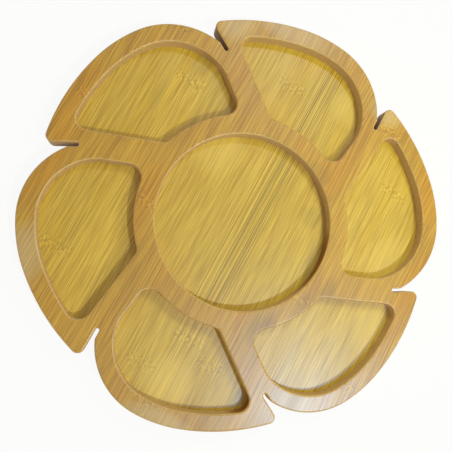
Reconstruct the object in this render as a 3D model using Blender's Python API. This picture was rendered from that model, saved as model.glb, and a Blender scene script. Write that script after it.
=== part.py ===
"""Divided snack tray: a flat bamboo board with six petals and seven compartments.

The board is two plies of edge-glued bamboo laths. The base ply is the floor of every
compartment. The frame ply lies on it and is cut right through in seven places, a round
compartment in the middle and one in each petal, so its laths are short pieces between
the compartments. All laths run along X, and the seams of the plies are staggered.

Lengths are in metres and angles in degrees. +Z is up, and the origin is the centre of
the underside. The plan is drawn for the petal that points along +X and turned for the
others. A petal has a long back edge, a rounded front and a heel that ends in a slot.
"""
import math
import string

import bmesh
import bpy
from mathutils import Matrix, Vector

# The board
tray_radius = 0.150            # centre to the outermost point of a petal
petal_count = 6
base_thickness = 0.005
frame_thickness = 0.0097
lath_width = 0.0216
stagger_share = -0.227         # shift of the base ply's seams from the frame ply's, in laths
glue_line = 0.0003             # between laths, and between the two plies
eased_edge = 0.001             # chamfer on the rims and round the underside

# The petals' outer edge, made of arcs that run into each other
front_radius = 0.098
front_turn = 1.4               # where the front touches the tray's radius
back_radius = 0.1495
back_turn = 16.0               # where the front arc runs into the back arc
heel_radius = 0.0541
heel_turn = -3.7               # where the heel arc runs into the front arc
heel_end_turn = -66.5          # where the heel arc runs into the slot
petal_tip_radius = 0.0045
slot_width = 0.0026
slot_run = 0.0057              # straight stretch of the slot behind the heel arc

# The compartments and the wood left between them
centre_pocket_radius = 0.0626
ring_width = 0.0143            # round the centre compartment
rim_width = 0.0124             # between a petal's compartment and its outer edge
web_width = 0.0183             # the straight bar between two petals' compartments
heel_bite = 0.001              # how deep the bar's side cuts into the heel's inner edge
web_lean = -8.0                # direction of the bar behind a petal, from its axis
pocket_tip_radius = 0.008
pocket_inner_radius = 0.006
pocket_blunt_radius = 0.009
pocket_heel_radius = 0.0286

# Colours, linear
base_colour = (0.60, 0.43, 0.13)
frame_colour = (0.56, 0.36, 0.13)

# How finely the solids are drawn
facet_height = 0.00005         # farthest that a facet lies from its arc
overrun = 0.002                # how far a cutter reaches past what it cuts

petal_pitch = 360.0 / petal_count
frame_bottom = base_thickness + glue_line
tray_height = frame_bottom + frame_thickness


def polar(radius, turn):
    """The plan point at a radius and a bearing."""
    angle = math.radians(turn)
    return Vector((radius * math.cos(angle), radius * math.sin(angle)))


def right_of(turn):
    """Unit vector to the right of a direction."""
    return polar(1.0, turn - 90.0)


def bearing(centre, point, near):
    """Bearing of a point from a centre, as the value closest to another bearing."""
    away = point - centre
    turn = math.degrees(math.atan2(away.y, away.x))
    return turn + 360.0 * round((near - turn) / 360.0)


def line_meets_circle(turn, reach, centre, radius):
    """The farther crossing of a circle and a line with this direction.

    The line passes the tray centre on its left, at the distance reach.
    """
    along = polar(1.0, turn)
    offset = reach - centre.dot(right_of(turn))
    half = math.sqrt(max(radius * radius - offset * offset, 0.0))
    return centre + right_of(turn) * offset + along * half


def arc(centre, radius, start, end):
    """Points along an arc from one bearing to another, its last point left out."""
    facet_turn = 2.0 * math.degrees(math.acos(1.0 - facet_height / radius))
    steps = max(2, math.ceil(abs(end - start) / facet_turn))
    return [centre + polar(radius, start + (end - start) * i / steps) for i in range(steps)]


# The circles that shape a petal, from its own axis along +X
front_centre = polar(tray_radius - front_radius, front_turn)
back_centre = front_centre - polar(back_radius - front_radius, back_turn)
heel_centre = front_centre + polar(front_radius - heel_radius, heel_turn)
heel_end = heel_centre + polar(heel_radius, heel_end_turn)
slot_reach = slot_width - heel_end.y      # petal axis to the straight side of its slot

# The bar starts from the heel's inner edge: reaches of its two sides from the tray centre
heel_side = heel_radius - rim_width
near_reach = heel_centre.dot(right_of(web_lean)) + heel_side - heel_bite
far_reach = near_reach + web_width


def petal_edge():
    """Outer edge of one petal, from the round end of its slot to the next petal's slot."""
    slot_radius = slot_width / 2.0
    slot_centre = Vector((heel_end.x - slot_run, heel_end.y - slot_radius))
    next_slot = slot_reach + petal_tip_radius
    tip_centre = line_meets_circle(petal_pitch, next_slot, back_centre, back_radius - petal_tip_radius)
    tip_start = bearing(back_centre, tip_centre, petal_pitch / 2.0)
    points = arc(slot_centre, slot_radius, 270.0, 90.0)
    points.append(slot_centre + Vector((0.0, slot_radius)))
    points += arc(heel_centre, heel_radius, heel_end_turn, heel_turn)
    points += arc(front_centre, front_radius, heel_turn, back_turn)
    points += arc(back_centre, back_radius, back_turn, tip_start)
    points += arc(tip_centre, petal_tip_radius, tip_start, petal_pitch + 90.0)
    points.append(tip_centre + polar(petal_tip_radius, petal_pitch + 90.0))
    return points


def bar_fillets(ring):
    """Radii of the fillets at the two ends of the bar's near side, each in its own half."""
    heel_along = heel_centre.dot(polar(1.0, web_lean))
    ring_square = ring * ring - near_reach * near_reach
    heel_square = heel_bite * (2.0 * heel_side - heel_bite)
    middle = (math.sqrt(ring_square) + heel_along + math.sqrt(heel_square)) / 2.0
    past = max(middle - heel_along, 0.0)
    blunt_room = (middle * middle - ring_square) / (2.0 * (ring + near_reach))
    heel_room = (heel_square - past * past) / (2.0 * heel_bite)
    return min(pocket_blunt_radius, blunt_room), min(pocket_heel_radius, heel_room)


def petal_pocket():
    """Edge of the compartment in the petal that points along +X, anticlockwise."""
    ring = centre_pocket_radius + ring_width
    front = front_radius - rim_width
    back = back_radius - rim_width
    far_bar = petal_pitch + web_lean
    origin = Vector((0.0, 0.0))
    blunt_round, heel_round = bar_fillets(ring)

    tip = line_meets_circle(far_bar, far_reach + pocket_tip_radius, back_centre,
                            back - pocket_tip_radius)
    inner = line_meets_circle(far_bar, far_reach + pocket_inner_radius, origin,
                              ring + pocket_inner_radius)
    blunt = line_meets_circle(web_lean, near_reach - blunt_round, origin, ring + blunt_round)
    heel = line_meets_circle(web_lean, near_reach - heel_round, heel_centre,
                             heel_side - heel_round)

    heel_stop = bearing(heel_centre, heel, heel_end_turn)
    tip_start = bearing(back_centre, tip, petal_pitch / 2.0)
    inner_stop = bearing(inner, origin, 180.0)
    blunt_start = bearing(blunt, origin, 180.0)
    ring_start = bearing(origin, inner, 0.0)
    ring_stop = bearing(origin, blunt, 0.0)

    points = arc(heel, heel_round, web_lean - 90.0, heel_stop)
    points += arc(heel_centre, heel_side, heel_stop, heel_turn)
    points += arc(front_centre, front, heel_turn, back_turn)
    points += arc(back_centre, back, back_turn, tip_start)
    points += arc(tip, pocket_tip_radius, tip_start, far_bar + 90.0)
    points.append(tip + polar(pocket_tip_radius, far_bar + 90.0))
    points += arc(inner, pocket_inner_radius, far_bar + 90.0, inner_stop)
    points += arc(origin, ring, ring_start, ring_stop)
    points += arc(blunt, blunt_round, blunt_start, web_lean + 270.0)
    points.append(blunt + polar(blunt_round, web_lean + 270.0))
    return points


def turned(points, turn):
    """Plan points turned about the tray centre."""
    return [Matrix.Rotation(math.radians(turn), 2) @ point for point in points]


def around(points):
    """The same stretch of edge for every petal, one after the other."""
    return [turned(points, petal_pitch * k) for k in range(petal_count)]


def add_prism(bm, outline, bottom, top):
    """A closed solid with this outline between two heights."""
    low = [bm.verts.new((point.x, point.y, bottom)) for point in outline]
    high = [bm.verts.new((point.x, point.y, top)) for point in outline]
    bm.faces.new(low[::-1])
    bm.faces.new(high)
    for i, corner in enumerate(low):
        after = (i + 1) % len(low)
        bm.faces.new((corner, low[after], high[after], high[i]))


def new_object(name, bm):
    """A named object in the scene from a bmesh."""
    mesh = bpy.data.meshes.new(name)
    bm.to_mesh(mesh)
    bm.free()
    obj = bpy.data.objects.new(name, mesh)
    bpy.context.scene.collection.objects.link(obj)
    return obj


def prisms(name, outlines, bottom, top):
    """One object that holds a prism for each outline."""
    bm = bmesh.new()
    for outline in outlines:
        add_prism(bm, outline, bottom, top)
    return new_object(name, bm)


def combined(body, tool, operation):
    """The mesh of a body after a Boolean with a tool, as a new bmesh."""
    modifier = body.modifiers.new(operation.lower(), "BOOLEAN")
    modifier.operation = operation
    modifier.object = tool
    bpy.context.view_layer.update()
    graph = bpy.context.evaluated_depsgraph_get()
    bm = bmesh.new()
    bm.from_object(body, graph)
    body.modifiers.remove(modifier)
    return bm


def ease_rim(bm, height):
    """Chamfer the sharp edges that lie at one height."""
    flat = facet_height
    bmesh.ops.remove_doubles(bm, verts=bm.verts, dist=glue_line / 100.0)
    sharp = [
        edge for edge in bm.edges
        if all(abs(vert.co.z - height) < flat for vert in edge.verts)
        and edge.calc_face_angle(0.0) > math.radians(45.0)
    ]
    bmesh.ops.bevel(bm, geom=sharp, offset=eased_edge, segments=1, affect="EDGES")


def loose_parts(bm):
    """The separate bodies in a bmesh, as lists of vertices."""
    left = set(bm.verts)
    parts = []
    while left:
        part = [left.pop()]
        for vert in part:
            for edge in vert.link_edges:
                other = edge.other_vert(vert)
                if other in left:
                    left.remove(other)
                    part.append(other)
        parts.append(part)
    return parts


def start_along(part):
    """Where a piece begins along its lath."""
    return min(vert.co.x for vert in part)


def shortness(part):
    """Lower for a longer piece, so that a lath's main piece comes before its off-cuts."""
    return start_along(part) - max(vert.co.x for vert in part)


def one_part(bm, part):
    """A bmesh with only one of the separate bodies of another."""
    keep = {vert.index for vert in part}
    single = bm.copy()
    others = [vert for vert in single.verts if vert.index not in keep]
    bmesh.ops.delete(single, geom=others, context="VERTS")
    bmesh.ops.dissolve_limit(single, angle_limit=math.radians(0.1),
                             verts=single.verts, edges=single.edges)
    return single


def bamboo(name, colour, place):
    """A lath's own material: its ply's colour, a little lighter or darker from lath to lath."""
    shade = 1.0 + 0.04 * math.sin(2.4 * place)
    material = bpy.data.materials.new(name)
    material.use_nodes = True
    shader = material.node_tree.nodes["Principled BSDF"]
    shader.inputs["Base Color"].default_value = [channel * shade for channel in colour] + [1.0]
    shader.inputs["Roughness"].default_value = 0.45
    shader.inputs["Metallic"].default_value = 0.0
    return material


def lath_strip(low_side, bottom, top):
    """The strip of a ply that one lath takes up, longer and thicker than the ply."""
    reach = tray_radius + overrun
    high_side = low_side + lath_width - glue_line
    corners = [(-reach, low_side), (reach, low_side), (reach, high_side), (-reach, high_side)]
    return prisms("strip", [[Vector(corner) for corner in corners]], bottom - overrun, top + overrun)


def lath_name(ply, place):
    """A lath's name, from its ply and its place to the left or right of the middle."""
    if place == 0.0:
        return f"{ply}_lath_middle"
    return f"{ply}_lath_{'left' if place > 0.0 else 'right'}_{math.ceil(abs(place))}"


def saw_into_laths(blank, ply, shift_share, bottom, top, colour, order):
    """Cut a ply's blank along its seams, and keep each piece of each lath as an object."""
    rows = math.ceil(tray_radius / lath_width)
    for row in range(-rows, rows + 1):
        place = row + shift_share
        low_side = (place - 0.5) * lath_width + glue_line / 2.0
        strip = lath_strip(low_side, bottom, top)
        cut = combined(blank, strip, "INTERSECT")
        cut.verts.index_update()
        for letter, part in zip(string.ascii_lowercase, sorted(loose_parts(cut), key=order)):
            name = f"{lath_name(ply, place)}_{letter}"
            lath = new_object(name, one_part(cut, part))
            lath.data.materials.append(bamboo(name, colour, place))
            lath.data.shade_smooth()
            lath.data.set_sharp_from_angle(angle=math.radians(30.0))
        cut.free()
        bpy.data.objects.remove(strip)
    bpy.data.objects.remove(blank)


def build_base_ply(outline):
    """The floor of the compartments, with its lower edge eased."""
    bm = bmesh.new()
    add_prism(bm, outline, 0.0, base_thickness)
    ease_rim(bm, 0.0)
    blank = new_object("base_blank", bm)
    saw_into_laths(blank, "base", stagger_share, 0.0, base_thickness, base_colour, shortness)


def build_frame_ply(outline):
    """The rim, ring and webs, with their upper edges eased."""
    centre = arc(Vector((0.0, 0.0)), centre_pocket_radius, 0.0, 360.0)
    uncut = prisms("frame_uncut", [outline], frame_bottom, tray_height)
    cutter = prisms("pocket_cutter", [centre] + around(petal_pocket()),
                    frame_bottom - overrun, tray_height + overrun)
    bm = combined(uncut, cutter, "DIFFERENCE")
    bpy.data.objects.remove(uncut)
    bpy.data.objects.remove(cutter)
    ease_rim(bm, tray_height)
    blank = new_object("frame_blank", bm)
    saw_into_laths(blank, "frame", 0.0, frame_bottom, tray_height, frame_colour, start_along)


for old in list(bpy.data.objects):
    bpy.data.objects.remove(old)

board_outline = [point for stretch in around(petal_edge()) for point in stretch]
build_base_ply(board_outline)
build_frame_ply(board_outline)
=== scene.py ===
"""Looks of the divided snack tray: a flat bamboo board with six petals and seven compartments.

The laths of both plies are built again with rounded rims and closed seams, from the same
sizes as the solids that they stand for, and get oiled bamboo with grain, nodes and seams.

Lengths are in metres and angles in degrees, except where a comment says mm. +Z is up, the
origin is the centre of the underside, and the grain of all laths runs along X.
"""
import math
import string

import bmesh
import bpy
from mathutils import Euler, Matrix, Vector
from mathutils.geometry import tessellate_polygon


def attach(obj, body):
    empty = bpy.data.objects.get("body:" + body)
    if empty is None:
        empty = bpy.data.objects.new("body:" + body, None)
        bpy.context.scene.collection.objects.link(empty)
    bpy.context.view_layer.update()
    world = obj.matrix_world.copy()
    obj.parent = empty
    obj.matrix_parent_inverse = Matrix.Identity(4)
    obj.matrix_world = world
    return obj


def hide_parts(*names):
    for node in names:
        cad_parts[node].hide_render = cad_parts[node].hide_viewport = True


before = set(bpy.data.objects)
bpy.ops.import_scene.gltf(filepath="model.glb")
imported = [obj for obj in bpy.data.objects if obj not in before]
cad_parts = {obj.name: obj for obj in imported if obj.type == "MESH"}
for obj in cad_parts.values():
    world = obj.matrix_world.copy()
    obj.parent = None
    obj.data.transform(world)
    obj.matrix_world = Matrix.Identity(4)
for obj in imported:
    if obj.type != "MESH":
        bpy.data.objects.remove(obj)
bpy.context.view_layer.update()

# The board
tray_radius = 0.150            # centre to the outermost point of a petal
petal_count = 6
petal_pitch = 360.0 / petal_count
base_thickness = 0.005
tray_height = 0.015
lath_width = 0.0216
stagger_share = -0.227         # shift of the base ply's seams from the frame ply's, in laths

# The petals' outer edge
front_radius = 0.098
front_turn = 1.4
back_radius = 0.1495
back_turn = 16.0
heel_radius = 0.0541
heel_turn = -3.7
heel_end_turn = -66.5
petal_tip_radius = 0.0045
slot_width = 0.0026
slot_run = 0.0057
slot_mouth_radius = 0.003      # rounds the corner between the heel and its slot

# The compartments and the wood left between them
centre_pocket_radius = 0.0626
ring_width = 0.0143
rim_width = 0.0124
web_width = 0.0183
heel_bite = 0.001
web_lean = -8.0
pocket_tip_radius = 0.008
pocket_inner_radius = 0.006
pocket_blunt_radius = 0.009
pocket_heel_radius = 0.0286

# Edges
rim_round = 0.0014             # on the upper edges
foot_round = 0.001             # round the underside
ply_groove = 0.00012           # where the plies meet on the outside
round_steps = 6
facet_height = 0.00001         # farthest that a facet lies from its arc
same_plane = 0.000001
flat_rise = 0.99999            # rise of a normal from which its face counts as flat

# The camera, from the photo's perspective
camera_place = (-0.0652, 0.04842, 0.40917)
camera_turn = (1.775, -14.522, -61.737)
camera_lens = 45.28
camera_shift = (-0.1307, 0.0609)

# The lights: each lamp's place, radius, power in watts and tint
front_lamp = ((-0.308, -0.779, 1.30), 0.03, 8.5, (0.97, 1.0, 0.80))
side_lamp = ((0.545, 0.0, 0.80), 0.022, 1.43, (0.59, 0.69, 1.0))
window = ((-0.128, -0.226, 0.37), 0.03, 1.2, (0.17, 0.49, 1.0))
fill = ((0.12, -0.11, 0.25), 0.06, 0.27, (0.93, 1.0, 0.24))
sky_tint = (1.0, 0.865, 0.61)
sky_level = 0.40
floor_size = 12.0
floor_level = 0.86
floor_glow_share = 0.92

# Where the bamboo's nodes cross a lath: its place from its ply's middle, and mm along it
base_nodes = ((1, 108.0), (1, -119.0), (0, -90.0), (-1, -101.0), (4, 71.0), (5, -75.0), (-4, 79.0))
frame_nodes = ((6, 21.5), (3, -21.5), (-3, -30.0), (-3, 115.0), (5, 97.0), (-6, -70.0), (0, -139.0))
node_reach = 7.0               # mm that a node's mark reaches along its lath
node_wobble = 9.0              # mm between the extremes of its wandering along the lath
node_waves = 0.22              # waves of that, per mm across
node_offset = 5.0              # sets this noise apart from the others

# Soft oval patches: mm along and across, and their reach each way. The compartments' sides get
# painted shade where walls, corners and slots lie in shade. The laths' faces are redder in places,
# paler with a painted sheen (on the base simply paler), and darker with painted shade.
painted_side_shade = ((-114.0, -60.0, 11.0, 11.0), (65.3, 48.5, 7.0, 7.0), (-51.2, 60.0, 6.0, 6.0),
            (-13.2, 79.5, 6.0, 9.0), (1.0, -60.6, 26.0, 8.0), (104.0, 75.0, 13.0, 13.0),
            (116.0, -52.0, 11.0, 9.0))
frame_red = ((17.0, 140.0, 34.0, 9.0), (-30.0, 132.0, 30.0, 7.0), (84.7, -113.0, 26.0, 16.0),
             (80.0, -40.0, 40.0, 13.0), (-20.0, 71.0, 26.0, 10.0), (9.0, -134.0, 40.0, 9.0))
# painted sheen on the frame's faces
frame_painted_sheen = ((-92.0, 117.0, 24.0, 15.0), (-138.0, 50.0, 8.0, 12.0), (-148.0, -12.0, 9.0, 26.0),
              (-106.0, -92.0, 26.0, 22.0), (143.0, 40.0, 14.0, 30.0), (124.0, 74.0, 16.0, 12.0),
              (128.0, -55.0, 12.0, 14.0))
# painted shade on the frame's faces, beside the centre compartment
frame_painted_shade = ((-37.0, -65.0, 16.0, 9.0), (57.0, -29.0, 9.0, 12.0), (-62.0, -46.0, 14.0, 9.0),
              (-18.0, -76.0, 14.0, 7.0))
base_pale = ((-125.0, -6.0, 20.0, 18.0), (38.0, 42.0, 20.0, 18.0), (-10.0, -122.0, 30.0, 14.0),
             (117.0, -31.0, 14.0, 16.0), (30.0, -110.0, 20.0, 12.0))
# painted shade on the base's faces, mostly a shadow band beside the centre compartment's wall
base_painted_shade = ((2.0, -60.0, 16.0, 6.0), (29.0, -43.0, 9.0, 8.0), (-113.0, -59.0, 10.0, 8.0),
             (87.0, 80.0, 12.0, 8.0))
patch_end = 1.6                # square of the distance, in reaches, where a patch has faded out

# How the grain wanders
mm = 1000.0                    # in a metre
lath_shift = 900.0             # mm, at most, that the pattern is moved along a lath
lath_lean = 0.016              # mm across for each mm along, from one extreme to the other
sway_along = 0.011             # waves per mm in the fibres' slow sway
sway_across = 0.03
sway_reach = 1.6               # mm between its extremes
crinkle_along = 0.42           # waves per mm where a node crinkles the fibres
crinkle_across = 0.62
crinkle_detail = 3.0
crinkle_roughness = 0.6
crinkle_reach = 3.0            # mm between its extremes
lath_step = 7.3                # from one lath to the next, in the noise that parts them
streak_step = 3.1              # by how much that noise moves the streaks

# Streaks: mm along and across, their detail, and an offset that sets each kind apart
streak_sizes = {
    "fibre": (46.0, 0.55, 1.0, 0.0),
    "hair": (22.0, 0.36, 1.0, 17.0),
    "strand": (90.0, 1.4, 1.0, 11.0),
    "broad": (150.0, 9.0, 1.0, 23.0),
    "dash": (42.0, 0.5, 1.0, 37.0),
    "glint": (46.0, 0.5, 1.0, 43.0),
    "stripe": (320.0, 0.62, 1.0, 51.0),
    "ink": (340.0, 0.6, 1.0, 61.0),
    "heart": (90.0, 14.0, 1.0, 71.0),
    "cut": (40.0, 0.8, 2.0, 83.0),
}

# The stretch of each noise over which its mark comes up
dash_range = (0.54, 0.70)
glint_range = (0.56, 0.74)
stripe_range = (0.38, 0.62)
ink_range = (0.56, 0.62)
heart_range = (0.62, 0.82)
cut_range = (0.36, 0.68)
stripe_start = (-115.0, -55.0)  # mm along, where the dark stripes grow from faint to full
faint_stripe = 0.35

# How much each kind of streak darkens the wood, from 0 for its light colour to 1 for its dark
grain_level = 0.47             # where all streaks are at their middle
grain_weights = {"fibre": 2.3, "hair": 1.9, "strand": 0.30, "broad": 0.18}
dash_weight = 0.30
glint_weight = -0.26
knot_weight = 4.2
stripe_weight = 1.2
stripe_level = 0.08            # by which the whole of the striped lath is deeper
ink_share = 0.8                # of the dark brown in its finest stripes
heart_weight = 0.6             # of each of the two noises that make the heartwood
heart_share = 0.6              # of the heartwood's colour, where it is strongest
# how far pale patches go toward their pale tone; on the frame this is painted sheen
pale_share = 0.32
tone_reach = 0.12              # between the palest lath and the deepest, as a share of light
# painted shade: how much darker the middle of a darker patch gets
painted_shade_reach = -0.2              # in the middle of a deeper patch

# The cut sides and the round edges, by the rise of their normals
side_rise = (0.55, 0.1)
edge_rise = (0.15, 0.5)        # where the edge begins above a side
face_rise = (0.99, 0.85)       # where it begins below the top
cut_weight = 0.7               # of the cut fibres, with the hairs as the rest
cut_hair_weight = 0.3
cut_depth = 0.5                # how dark the fibres on a side get
side_share = 0.94
# painted highlight: how far the round edges go toward a pale tint
edge_highlight_share = 0.30

# The surface
oil_gloss = 0.7                # specular level of the oil
fibre_roughness = 0.08         # what each adds to the finish's roughness
broad_roughness = 0.10
side_roughness = 0.20
edge_roughness = 0.15
fibre_relief = 0.7             # shares of the bump's height
dash_relief = -0.25
knot_relief = 2.2
bump_strength = 0.4
bump_height = 0.00004


def polar(radius, turn):
    """The plan point at a radius and a bearing."""
    angle = math.radians(turn)
    return Vector((radius * math.cos(angle), radius * math.sin(angle)))


def right_of(turn):
    """Unit vector to the right of a direction."""
    return polar(1.0, turn - 90.0)


def bearing(centre, point, near):
    """Bearing of a point from a centre, as the value closest to another bearing."""
    away = point - centre
    turn = math.degrees(math.atan2(away.y, away.x))
    return turn + 360.0 * round((near - turn) / 360.0)


def line_meets_circle(turn, reach, centre, radius):
    """The farther crossing of a circle and a line that passes the tray centre at a distance."""
    along = polar(1.0, turn)
    offset = reach - centre.dot(right_of(turn))
    half = math.sqrt(max(radius * radius - offset * offset, 0.0))
    return centre + right_of(turn) * offset + along * half


def arc(centre, radius, start, end, air=1.0):
    """Edge points along an arc, each with its normal into the air.

    air is 1 where the wood lies inside the circle, and -1 where it lies outside.
    """
    facet_turn = 2.0 * math.degrees(math.acos(1.0 - facet_height / radius))
    steps = max(2, math.ceil(abs(end - start) / facet_turn))
    turns = [start + (end - start) * i / steps for i in range(steps + 1)]
    return [(centre + polar(radius, turn), polar(air, turn)) for turn in turns]


def joined(*stretches):
    """One edge from stretches that run into each other, each meeting point kept once."""
    points = []
    for stretch in stretches:
        for point, normal in stretch:
            if not points or (point - points[-1][0]).length > facet_height:
                points.append((point, normal))
    if (points[0][0] - points[-1][0]).length <= facet_height:
        points.pop()
    return points


def turned(points, turn):
    """Edge points turned about the tray centre."""
    spin = Matrix.Rotation(math.radians(turn), 2)
    return [(spin @ point, spin @ normal) for point, normal in points]


# The circles that shape a petal, from its own axis along +X
front_centre = polar(tray_radius - front_radius, front_turn)
back_centre = front_centre - polar(back_radius - front_radius, back_turn)
heel_centre = front_centre + polar(front_radius - heel_radius, heel_turn)
heel_end = heel_centre + polar(heel_radius, heel_end_turn)
slot_reach = slot_width - heel_end.y
heel_side = heel_radius - rim_width
near_reach = heel_centre.dot(right_of(web_lean)) + heel_side - heel_bite
far_reach = near_reach + web_width


def petal_edge():
    """Outer edge of one petal, from the round end of its slot to the next petal's slot."""
    slot_radius = slot_width / 2.0
    slot_centre = Vector((heel_end.x - slot_run, heel_end.y - slot_radius))
    next_slot = slot_reach + petal_tip_radius
    tip_centre = line_meets_circle(petal_pitch, next_slot, back_centre,
                                   back_radius - petal_tip_radius)
    tip_start = bearing(back_centre, tip_centre, petal_pitch / 2.0)
    mouth_reach = math.sqrt((heel_radius - slot_mouth_radius) ** 2
                            - (heel_end.y + slot_mouth_radius - heel_centre.y) ** 2)
    mouth_centre = Vector((heel_centre.x + mouth_reach, heel_end.y + slot_mouth_radius))
    mouth_end = bearing(heel_centre, mouth_centre, heel_end_turn)
    return joined(
        arc(slot_centre, slot_radius, 270.0, 90.0, -1.0),
        arc(mouth_centre, slot_mouth_radius, -90.0, mouth_end),
        arc(heel_centre, heel_radius, mouth_end, heel_turn),
        arc(front_centre, front_radius, heel_turn, back_turn),
        arc(back_centre, back_radius, back_turn, tip_start),
        arc(tip_centre, petal_tip_radius, tip_start, petal_pitch + 90.0),
    )


def petal_pocket():
    """Edge of the compartment in the petal that points along +X, anticlockwise."""
    ring = centre_pocket_radius + ring_width
    front = front_radius - rim_width
    back = back_radius - rim_width
    far_bar = petal_pitch + web_lean
    origin = Vector((0.0, 0.0))
    tip = line_meets_circle(far_bar, far_reach + pocket_tip_radius, back_centre,
                            back - pocket_tip_radius)
    inner = line_meets_circle(far_bar, far_reach + pocket_inner_radius, origin,
                              ring + pocket_inner_radius)
    blunt = line_meets_circle(web_lean, near_reach - pocket_blunt_radius, origin,
                              ring + pocket_blunt_radius)
    heel = line_meets_circle(web_lean, near_reach - pocket_heel_radius, heel_centre,
                             heel_side - pocket_heel_radius)
    heel_stop = bearing(heel_centre, heel, heel_end_turn)
    tip_start = bearing(back_centre, tip, petal_pitch / 2.0)
    return joined(
        arc(heel, pocket_heel_radius, web_lean - 90.0, heel_stop, -1.0),
        arc(heel_centre, heel_side, heel_stop, heel_turn, -1.0),
        arc(front_centre, front, heel_turn, back_turn, -1.0),
        arc(back_centre, back, back_turn, tip_start, -1.0),
        arc(tip, pocket_tip_radius, tip_start, far_bar + 90.0, -1.0),
        arc(inner, pocket_inner_radius, far_bar + 90.0, bearing(inner, origin, 180.0), -1.0),
        arc(origin, ring, bearing(origin, inner, 0.0), bearing(origin, blunt, 0.0)),
        arc(blunt, pocket_blunt_radius, bearing(blunt, origin, 180.0), web_lean + 270.0, -1.0),
    )


board_edge = joined(*[turned(petal_edge(), petal_pitch * k) for k in range(petal_count)])
centre_edge = joined(arc(Vector((0.0, 0.0)), centre_pocket_radius, 0.0, 360.0, -1.0))
pocket_edges = [centre_edge]
pocket_edges += [turned(petal_pocket(), petal_pitch * k) for k in range(petal_count)]


def rounding(radius, height, upward):
    """Profile of a quarter round, from the face to the side: inset, height and normal's rise."""
    rows = []
    for i in range(round_steps + 1):
        rise = math.radians(90.0 * (1.0 - i / round_steps))
        drop = radius * (1.0 - math.sin(rise))
        rows.append((radius * (1.0 - math.cos(rise)), height - upward * drop, upward * rise))
    return rows


def side_rings(bm, edge, profile, lean):
    """Sweep a profile along a closed edge, and return its first and last rings of vertices."""
    rings = []
    for inset, height, rise in profile:
        ring = []
        for point, normal in edge:
            place = point - normal * inset
            vert = bm.verts.new((place.x, place.y, height))
            flat = normal * math.cos(rise)
            vert[lean] = Vector((flat.x, flat.y, math.sin(rise)))
            ring.append(vert)
        rings.append(ring)
    for upper, lower in zip(rings, rings[1:]):
        for i, corner in enumerate(upper):
            after = (i + 1) % len(upper)
            bm.faces.new((corner, lower[i], lower[after], upper[after]))
    return rings[0], rings[-1]


def flat_face(bm, loops):
    """Fill between an outer ring of vertices and the rings of its openings."""
    verts = [vert for loop in loops for vert in loop]
    for corners in tessellate_polygon([[vert.co for vert in loop] for loop in loops]):
        bm.faces.new([verts[i] for i in corners])


def board(edges, profiles):
    """A closed board between its outer edge and its openings, with each vertex's normal kept."""
    bm = bmesh.new()
    lean = bm.verts.layers.float_vector.new("lean")
    tops, bottoms = zip(*[side_rings(bm, edge, profile, lean)
                          for edge, profile in zip(edges, profiles)])
    flat_face(bm, tops)
    flat_face(bm, bottoms)
    bmesh.ops.recalc_face_normals(bm, faces=bm.faces)
    return bm


def cut_off(bm, side, height):
    """Cut a board along a lath's seam, keep the side of the lath's middle, and close it."""
    geometry = list(bm.verts) + list(bm.edges) + list(bm.faces)
    bmesh.ops.bisect_plane(bm, geom=geometry, plane_co=(0.0, side, 0.0),
                           plane_no=(0.0, height, 0.0), clear_outer=True, dist=same_plane / 10.0)
    open_edges = [edge for edge in bm.edges if edge.is_boundary]
    if open_edges:
        bmesh.ops.holes_fill(bm, edges=open_edges, sides=0)


def loose_parts(bm):
    """The separate bodies in a bmesh, as lists of vertices."""
    left = dict.fromkeys(bm.verts)
    parts = []
    while left:
        part = [left.popitem()[0]]
        for vert in part:
            for edge in vert.link_edges:
                other = edge.other_vert(vert)
                if other in left:
                    del left[other]
                    part.append(other)
        parts.append(part)
    return parts


def start_along(part):
    """Where a piece begins along its lath."""
    return min(vert.co.x for vert in part)


def shortness(part):
    """Lower for a longer piece, so that a lath's main piece comes before its off-cuts."""
    return start_along(part) - max(vert.co.x for vert in part)


def level(face):
    """Whether a face lies flat."""
    return abs(face.normal.z) > flat_rise


def one_part(bm, part):
    """A bmesh with only one of the separate bodies of another, its flat faces made whole."""
    keep = {vert.index for vert in part}
    single = bm.copy()
    others = [vert for vert in single.verts if vert.index not in keep]
    bmesh.ops.delete(single, geom=others, context="VERTS")
    inner = [edge for edge in single.edges if all(level(face) for face in edge.link_faces)]
    bmesh.ops.dissolve_edges(single, edges=inner, use_verts=False)
    bmesh.ops.recalc_face_normals(single, faces=single.faces)
    return single


def on_seam(face, seams):
    """Whether a face lies in one of a lath's seams."""
    return any(all(abs(vert.co.y - seam) < same_plane for vert in face.verts) for seam in seams)


def piece_from(name, bm, seams, material):
    """An object from a bmesh, smooth round its edges and flat on its faces and seams."""
    lean = bm.verts.layers.float_vector["lean"]
    bm.verts.index_update()
    leans = [vert[lean].normalized() for vert in bm.verts]
    normals = []
    for face in bm.faces:
        flat = on_seam(face, seams) or level(face)
        normals += [face.normal.copy() if flat else leans[vert.index] for vert in face.verts]
        face.smooth = True
    mesh = bpy.data.meshes.new(name)
    bm.to_mesh(mesh)
    bm.free()
    mesh.normals_split_custom_set(normals)
    mesh.materials.append(material)
    obj = bpy.data.objects.new(name, mesh)
    bpy.context.scene.collection.objects.link(obj)
    return obj


def lath_name(ply, place):
    """A lath's name, from its ply and its place to the left or right of the middle."""
    if place == 0.0:
        return f"{ply}_lath_middle"
    return f"{ply}_lath_{'left' if place > 0.0 else 'right'}_{math.ceil(abs(place))}"


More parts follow.
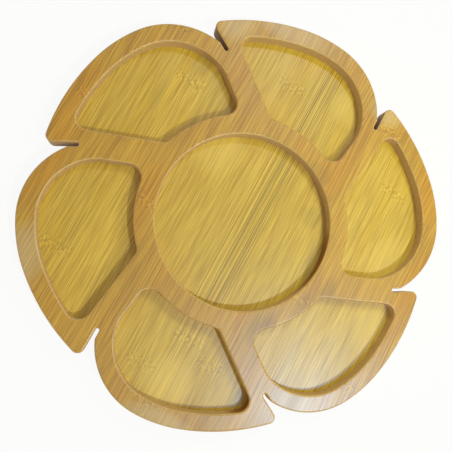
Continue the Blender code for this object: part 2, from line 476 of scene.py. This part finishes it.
def saw_into_laths(blank, ply, shift_share, order, material):
    """Cut a ply along its seams, and let each piece of each lath stand for its solid."""
    rows = math.ceil(tray_radius / lath_width)
    for row in range(-rows, rows + 1):
        place = row + shift_share
        seams = ((place - 0.5) * lath_width, (place + 0.5) * lath_width)
        cut = blank.copy()
        cut_off(cut, seams[0], -1.0)
        cut_off(cut, seams[1], 1.0)
        cut.verts.index_update()
        for letter, part in zip(string.ascii_lowercase, sorted(loose_parts(cut), key=order)):
            node = f"{lath_name(ply, place)}_{letter}"
            piece = piece_from(f"{node}_finished", one_part(cut, part), seams, material)
            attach(piece, "root")
            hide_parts(node)
        cut.free()
    blank.free()


class Graph:
    """The nodes of one material or world, made and linked in short calls."""

    def __init__(self, owner):
        owner.use_nodes = True
        self.tree = owner.node_tree

    def node(self, kind, inputs=(), **settings):
        """A node with these settings, its inputs set to numbers or linked to sockets."""
        node = self.tree.nodes.new(f"ShaderNode{kind}")
        for key, value in settings.items():
            setattr(node, key, value)
        for key, value in dict(inputs).items():
            self.feed(node.inputs[key], value)
        return node

    def feed(self, socket, value):
        """Link a socket to an output, or set it to a value."""
        if isinstance(value, bpy.types.NodeSocket):
            self.tree.links.new(value, socket)
        else:
            socket.default_value = value

    def own(self, name):
        """The inputs of a node that is there from the start."""
        return self.tree.nodes[name].inputs

    def vector(self, x, y, z):
        """A vector from its three parts."""
        return self.node("CombineXYZ", enumerate((x, y, z))).outputs[0]

    def math(self, operation, *values):
        """One step of arithmetic."""
        return self.node("Math", enumerate(values), operation=operation).outputs[0]

    def add(self, *values):
        """The sum of several values."""
        total = values[0]
        for value in values[1:]:
            total = self.math("ADD", total, value)
        return total

    def times(self, *values):
        """The product of several values."""
        product = values[0]
        for value in values[1:]:
            product = self.math("MULTIPLY", product, value)
        return product

    def centred(self, value):
        """A value from 0 to 1 brought to lie about zero."""
        return self.add(value, -0.5)

    def remap(self, value, low, high, to_low=0.0, to_high=1.0, smooth=True):
        """A value brought from one range to another, and held inside it."""
        node = self.node("MapRange", enumerate((value, low, high, to_low, to_high)),
                         interpolation_type="SMOOTHSTEP" if smooth else "LINEAR")
        return node.outputs["Result"]

    def noise(self, place, detail=2.0, roughness=0.5):
        """Smooth noise from 0 to 1 with features about one unit across."""
        node = self.node("TexNoise", {"Vector": place, "Scale": 1.0,
                                      "Detail": detail, "Roughness": roughness})
        return node.outputs["Fac"]

    def mix(self, share, first, second, blend="MIX"):
        """A mix of two colours."""
        node = self.node("Mix", data_type="RGBA", blend_type=blend, clamp_factor=True)
        self.feed(node.inputs["Factor"], share)
        self.feed(node.inputs[6], first)
        self.feed(node.inputs[7], second)
        return node.outputs[2]


def colour(red, green, blue):
    """A linear colour with full alpha."""
    return (red, green, blue, 1.0)


# painted shade on the cut sides, where they lie in shade
side_shade_colour = colour(0.24, 0.08, 0.0)
stripe_ink = colour(0.19, 0.115, 0.0)
# painted highlight along the round edges
painted_edge_highlight = colour(0.88, 0.68, 0.42)
white = colour(1.0, 1.0, 1.0)


class Grain:
    """The laths of one ply and the noise along them, in mm."""

    def __init__(self, g, shift_share, seed, knots):
        self.g = g
        axes = g.node("SeparateXYZ", {"Vector": g.node("TexCoord").outputs["Object"]}).outputs
        self.x = g.times(axes["X"], mm)
        self.y = g.times(axes["Y"], mm)
        self.z = g.times(axes["Z"], mm)
        first_seam = (shift_share - 0.5) * lath_width
        offset = g.math("SUBTRACT", axes["Y"], first_seam)
        self.row = g.math("FLOOR", g.math("DIVIDE", offset, lath_width))
        dice = g.node("TexWhiteNoise", {"Vector": g.vector(self.row, seed, 0.0)},
                      noise_dimensions="3D")
        lots = g.node("SeparateColor", {"Color": dice.outputs["Color"]}).outputs
        self.tone = g.centred(lots["Green"])
        self.along = g.add(self.x, g.times(lots["Red"], lath_shift))
        sway_place = g.vector(g.times(self.along, sway_along), g.times(self.y, sway_across), seed)
        sway = g.times(g.centred(g.noise(sway_place)), sway_reach)
        crinkle_place = g.vector(g.times(self.x, crinkle_along), g.times(self.y, crinkle_across),
                                 g.times(self.z, crinkle_across))
        crinkle = g.centred(g.noise(crinkle_place, crinkle_detail, crinkle_roughness))
        self.knot = g.times(crinkle, self.node_marks(knots))
        lean = g.times(self.x, g.times(g.centred(lots["Blue"]), lath_lean))
        self.across = g.add(self.y, lean, sway, g.times(self.knot, crinkle_reach))
        self.start = g.times(g.add(g.times(self.row, lath_step), seed), streak_step)

    def node_marks(self, places):
        """A mask of the short stretches where the bamboo's nodes cross the laths."""
        g = self.g
        waves = g.noise(g.vector(g.times(self.y, node_waves), self.row, node_offset))
        wobble = g.times(g.centred(waves), node_wobble)
        marks = []
        for lath, middle in places:
            off = g.math("ABSOLUTE", g.add(self.x, wobble, -middle))
            marks.append(g.times(self.lath(float(lath)), g.remap(off, node_reach, 0.0)))
        return g.math("MINIMUM", g.add(*marks), 1.0)

    def lath(self, row):
        """A mask of one lath."""
        return self.g.math("COMPARE", self.row, row, 0.5)

    def patches(self, places):
        """A mask of soft oval patches."""
        g = self.g
        marks = []
        for middle_x, middle_y, reach_x, reach_y in places:
            off_x = g.times(g.add(self.x, -middle_x), 1.0 / reach_x)
            off_y = g.times(g.add(self.y, -middle_y), 1.0 / reach_y)
            square = g.add(g.times(off_x, off_x), g.times(off_y, off_y))
            marks.append(g.remap(square, patch_end, 0.0))
        return g.math("MINIMUM", g.add(*marks), 1.0)

    def streaks(self, kind):
        """Noise drawn out along the grain, from 0 to 1."""
        g = self.g
        length, width, detail, offset = streak_sizes[kind]
        place = g.vector(g.times(self.along, 1.0 / length),
                         g.add(g.times(self.across, 1.0 / width), self.start),
                         g.add(g.times(self.z, 1.0 / width), offset))
        return g.noise(place, detail)


def side_colour(grain, hair, wall, dark):
    """The sides that the router cut, with short fibres and painted shade where walls, corners and
    slots lie in shade.
    """
    g = grain.g
    fibres = g.add(g.times(grain.streaks("cut"), cut_weight), g.times(hair, cut_hair_weight))
    side = g.mix(g.remap(fibres, *cut_range, 0.0, cut_depth), wall, dark)
    # painted shade on the sides, in the listed patches
    return g.mix(grain.patches(painted_side_shade), side, side_shade_colour)


def bamboo(name, shift_share, seed, finish, light, dark, warm, wall, pale_tone,
           knots, pale, painted_shade, red=(), stripe_row=None):
    """Oiled bamboo in laths: fibres, bands, nodes, a tone for each lath, pale patches and duller
    cut sides, with painted shade in darker patches and on the sides, and a painted highlight along
    the round edges.
    """
    material = bpy.data.materials.new(name)
    g = Graph(material)
    grain = Grain(g, shift_share, seed, knots)
    streaks = {kind: grain.streaks(kind) for kind in grain_weights}
    dashes = g.remap(grain.streaks("dash"), *dash_range)
    glints = g.remap(grain.streaks("glint"), *glint_range)
    depth = g.add(*[g.times(g.centred(streaks[kind]), weight)
                    for kind, weight in grain_weights.items()],
                  g.times(dashes, dash_weight), g.times(glints, glint_weight),
                  g.times(grain.knot, knot_weight), grain_level)
    if stripe_row is not None:
        striped = g.times(grain.lath(stripe_row),
                          g.remap(grain.x, *stripe_start, faint_stripe, 1.0))
        lines = g.remap(grain.streaks("stripe"), *stripe_range, -0.5, 0.5)
        depth = g.add(depth, g.times(striped, lines, stripe_weight), g.times(striped, stripe_level))
    depth = g.remap(depth, 0.0, 1.0, smooth=False)
    body = g.mix(depth, light, dark)
    if stripe_row is not None:
        ink = g.times(striped, g.remap(grain.streaks("ink"), *ink_range), ink_share)
        body = g.mix(ink, body, stripe_ink)
    heart = g.remap(g.add(g.times(streaks["broad"], heart_weight),
                          g.times(grain.streaks("heart"), heart_weight)), *heart_range)
    if red:
        heart = g.math("MAXIMUM", heart, grain.patches(red))
    body = g.mix(g.times(heart, heart_share), body, g.mix(depth, warm, dark))
    # pale patches: painted sheen on the frame, a plainly paler tone on the base
    body = g.mix(g.times(grain.patches(pale), pale_share), body, pale_tone)
    # each lath's tone, with painted shade in the darker patches
    shade = g.add(g.times(grain.tone, tone_reach), g.times(grain.patches(painted_shade), painted_shade_reach), 1.0)
    grey = g.node("CombineColor", enumerate((shade, shade, shade))).outputs[0]
    body = g.mix(1.0, body, grey, "MULTIPLY")

    normal = g.node("NewGeometry").outputs["Normal"]
    rise = g.math("ABSOLUTE", g.node("SeparateXYZ", {"Vector": normal}).outputs["Z"])
    cut_side = g.remap(rise, *side_rise)
    edge = g.times(g.remap(rise, *edge_rise), g.remap(rise, *face_rise))
    body = g.mix(g.times(cut_side, side_share), body,
                 side_colour(grain, streaks["hair"], wall, dark))
    # painted highlight along the round edges
    body = g.mix(g.times(edge, edge_highlight_share), body, painted_edge_highlight)

    roughness = g.add(g.times(g.centred(streaks["fibre"]), fibre_roughness),
                      g.times(g.centred(streaks["broad"]), broad_roughness), finish,
                      g.times(cut_side, side_roughness), g.times(edge, edge_roughness))
    relief = g.add(g.times(streaks["fibre"], fibre_relief), g.times(dashes, dash_relief),
                   g.times(grain.knot, knot_relief))
    bump = g.node("Bump", {"Strength": bump_strength, "Distance": bump_height, "Height": relief})
    shader = g.own("Principled BSDF")
    shader["Specular IOR Level"].default_value = oil_gloss
    g.feed(shader["Base Color"], body)
    g.feed(shader["Roughness"], roughness)
    g.feed(shader["Normal"], bump.outputs[0])
    return material


def build_floor():
    """A plain pale floor that keeps the object's shadow, and reads as white to the camera."""
    mesh = bpy.data.meshes.new("floor")
    half = floor_size / 2.0
    corners = [(-half, -half, 0.0), (half, -half, 0.0), (half, half, 0.0), (-half, half, 0.0)]
    mesh.from_pydata(corners, [], [(0, 1, 2, 3)])
    floor = bpy.data.objects.new("floor", mesh)
    bpy.context.scene.collection.objects.link(floor)
    material = bpy.data.materials.new("floor")
    g = Graph(material)
    shader = g.tree.nodes["Principled BSDF"]
    shader.inputs["Base Color"].default_value = colour(floor_level, floor_level, floor_level)
    shader.inputs["Roughness"].default_value = 1.0
    shader.inputs["Specular IOR Level"].default_value = 0.0
    glow = g.node("Emission", {"Strength": 1.0}).outputs[0]
    share = g.times(seen_directly(g), floor_glow_share)
    blend = g.node("MixShader", {0: share, 1: shader.outputs[0], 2: glow})
    g.feed(g.own("Material Output")["Surface"], blend.outputs[0])
    mesh.materials.append(material)


def seen_directly(graph):
    """1 for rays that show the background itself, and 0 for those that only carry its light."""
    path = graph.node("LightPath").outputs
    rays = graph.add(path["Is Camera Ray"], path["Is Glossy Ray"], path["Is Transmission Ray"])
    return graph.math("MINIMUM", rays, 1.0)


def build_sky():
    """Even soft light from all round, which the camera sees as white."""
    world = bpy.data.worlds.new("studio")
    bpy.context.scene.world = world
    g = Graph(world)
    strength = g.add(g.times(seen_directly(g), 1.0 - sky_level), sky_level)
    background = g.own("Background")
    g.feed(background["Color"], g.mix(seen_directly(g), colour(*sky_tint), white))
    g.feed(background["Strength"], strength)


def build_lamp(name, place, radius, power, tint, lights=True, shines=True):
    """A round studio lamp aimed at the middle of the tray."""
    data = bpy.data.lights.new(name, "AREA")
    data.shape = "DISK"
    data.size = 2.0 * radius
    data.energy = power
    data.color = tint
    lamp = bpy.data.objects.new(name, data)
    lamp.location = place
    lamp.rotation_euler = (-Vector(place)).to_track_quat("-Z", "Y").to_euler()
    lamp.visible_diffuse = lights
    lamp.visible_glossy = shines
    bpy.context.scene.collection.objects.link(lamp)


def build_camera():
    """The camera where the photo was taken from."""
    data = bpy.data.cameras.new("camera")
    data.lens = camera_lens
    data.shift_x, data.shift_y = camera_shift
    camera = bpy.data.objects.new("camera", data)
    camera.location = camera_place
    camera.rotation_euler = Euler([math.radians(turn) for turn in camera_turn])
    bpy.context.scene.collection.objects.link(camera)
    bpy.context.scene.camera = camera


base_bamboo = bamboo(
    "base_bamboo", stagger_share, seed=3.0, finish=0.44,
    light=colour(0.715, 0.50, 0.065), dark=colour(0.38, 0.225, 0.006),
    warm=colour(0.70, 0.45, 0.01), wall=colour(0.56, 0.39, 0.25), pale_tone=colour(0.88, 0.66, 0.15),
    knots=base_nodes, pale=base_pale, painted_shade=base_painted_shade, stripe_row=0.0)
# the frame's pale patches are painted sheen
frame_bamboo = bamboo(
    "frame_bamboo", 0.0, seed=8.0, finish=0.42,
    light=colour(0.60, 0.36, 0.038), dark=colour(0.32, 0.152, 0.004),
    warm=colour(0.64, 0.28, 0.006), wall=colour(0.68, 0.49, 0.28), pale_tone=colour(0.70, 0.60, 0.42),
    knots=frame_nodes, pale=frame_painted_sheen, painted_shade=frame_painted_shade, red=frame_red)

rim_profile = rounding(rim_round, tray_height, 1.0)
outer_rim = rim_profile + [(0.0, base_thickness + ply_groove, 0.0),
                           (ply_groove, base_thickness, -math.pi / 2.0)]
pocket_rim = rim_profile + [(0.0, base_thickness, 0.0)]
foot = [(ply_groove, base_thickness, math.pi / 2.0), (0.0, base_thickness - ply_groove, 0.0)]
foot += rounding(foot_round, 0.0, -1.0)[::-1]

saw_into_laths(board([board_edge], [foot]), "base", stagger_share, shortness, base_bamboo)
saw_into_laths(board([board_edge] + pocket_edges, [outer_rim] + [pocket_rim] * len(pocket_edges)),
               "frame", 0.0, start_along, frame_bamboo)

build_floor()
build_sky()
build_lamp("front_lamp", *front_lamp)
build_lamp("window", *window, lights=False)  # a bluish pane of daylight, seen only as gloss
build_lamp("side_lamp", *side_lamp)
build_lamp("fill", *fill, shines=False)      # over the right half, and leaves no gloss
build_camera()
bpy.context.scene.view_settings.view_transform = "Standard"
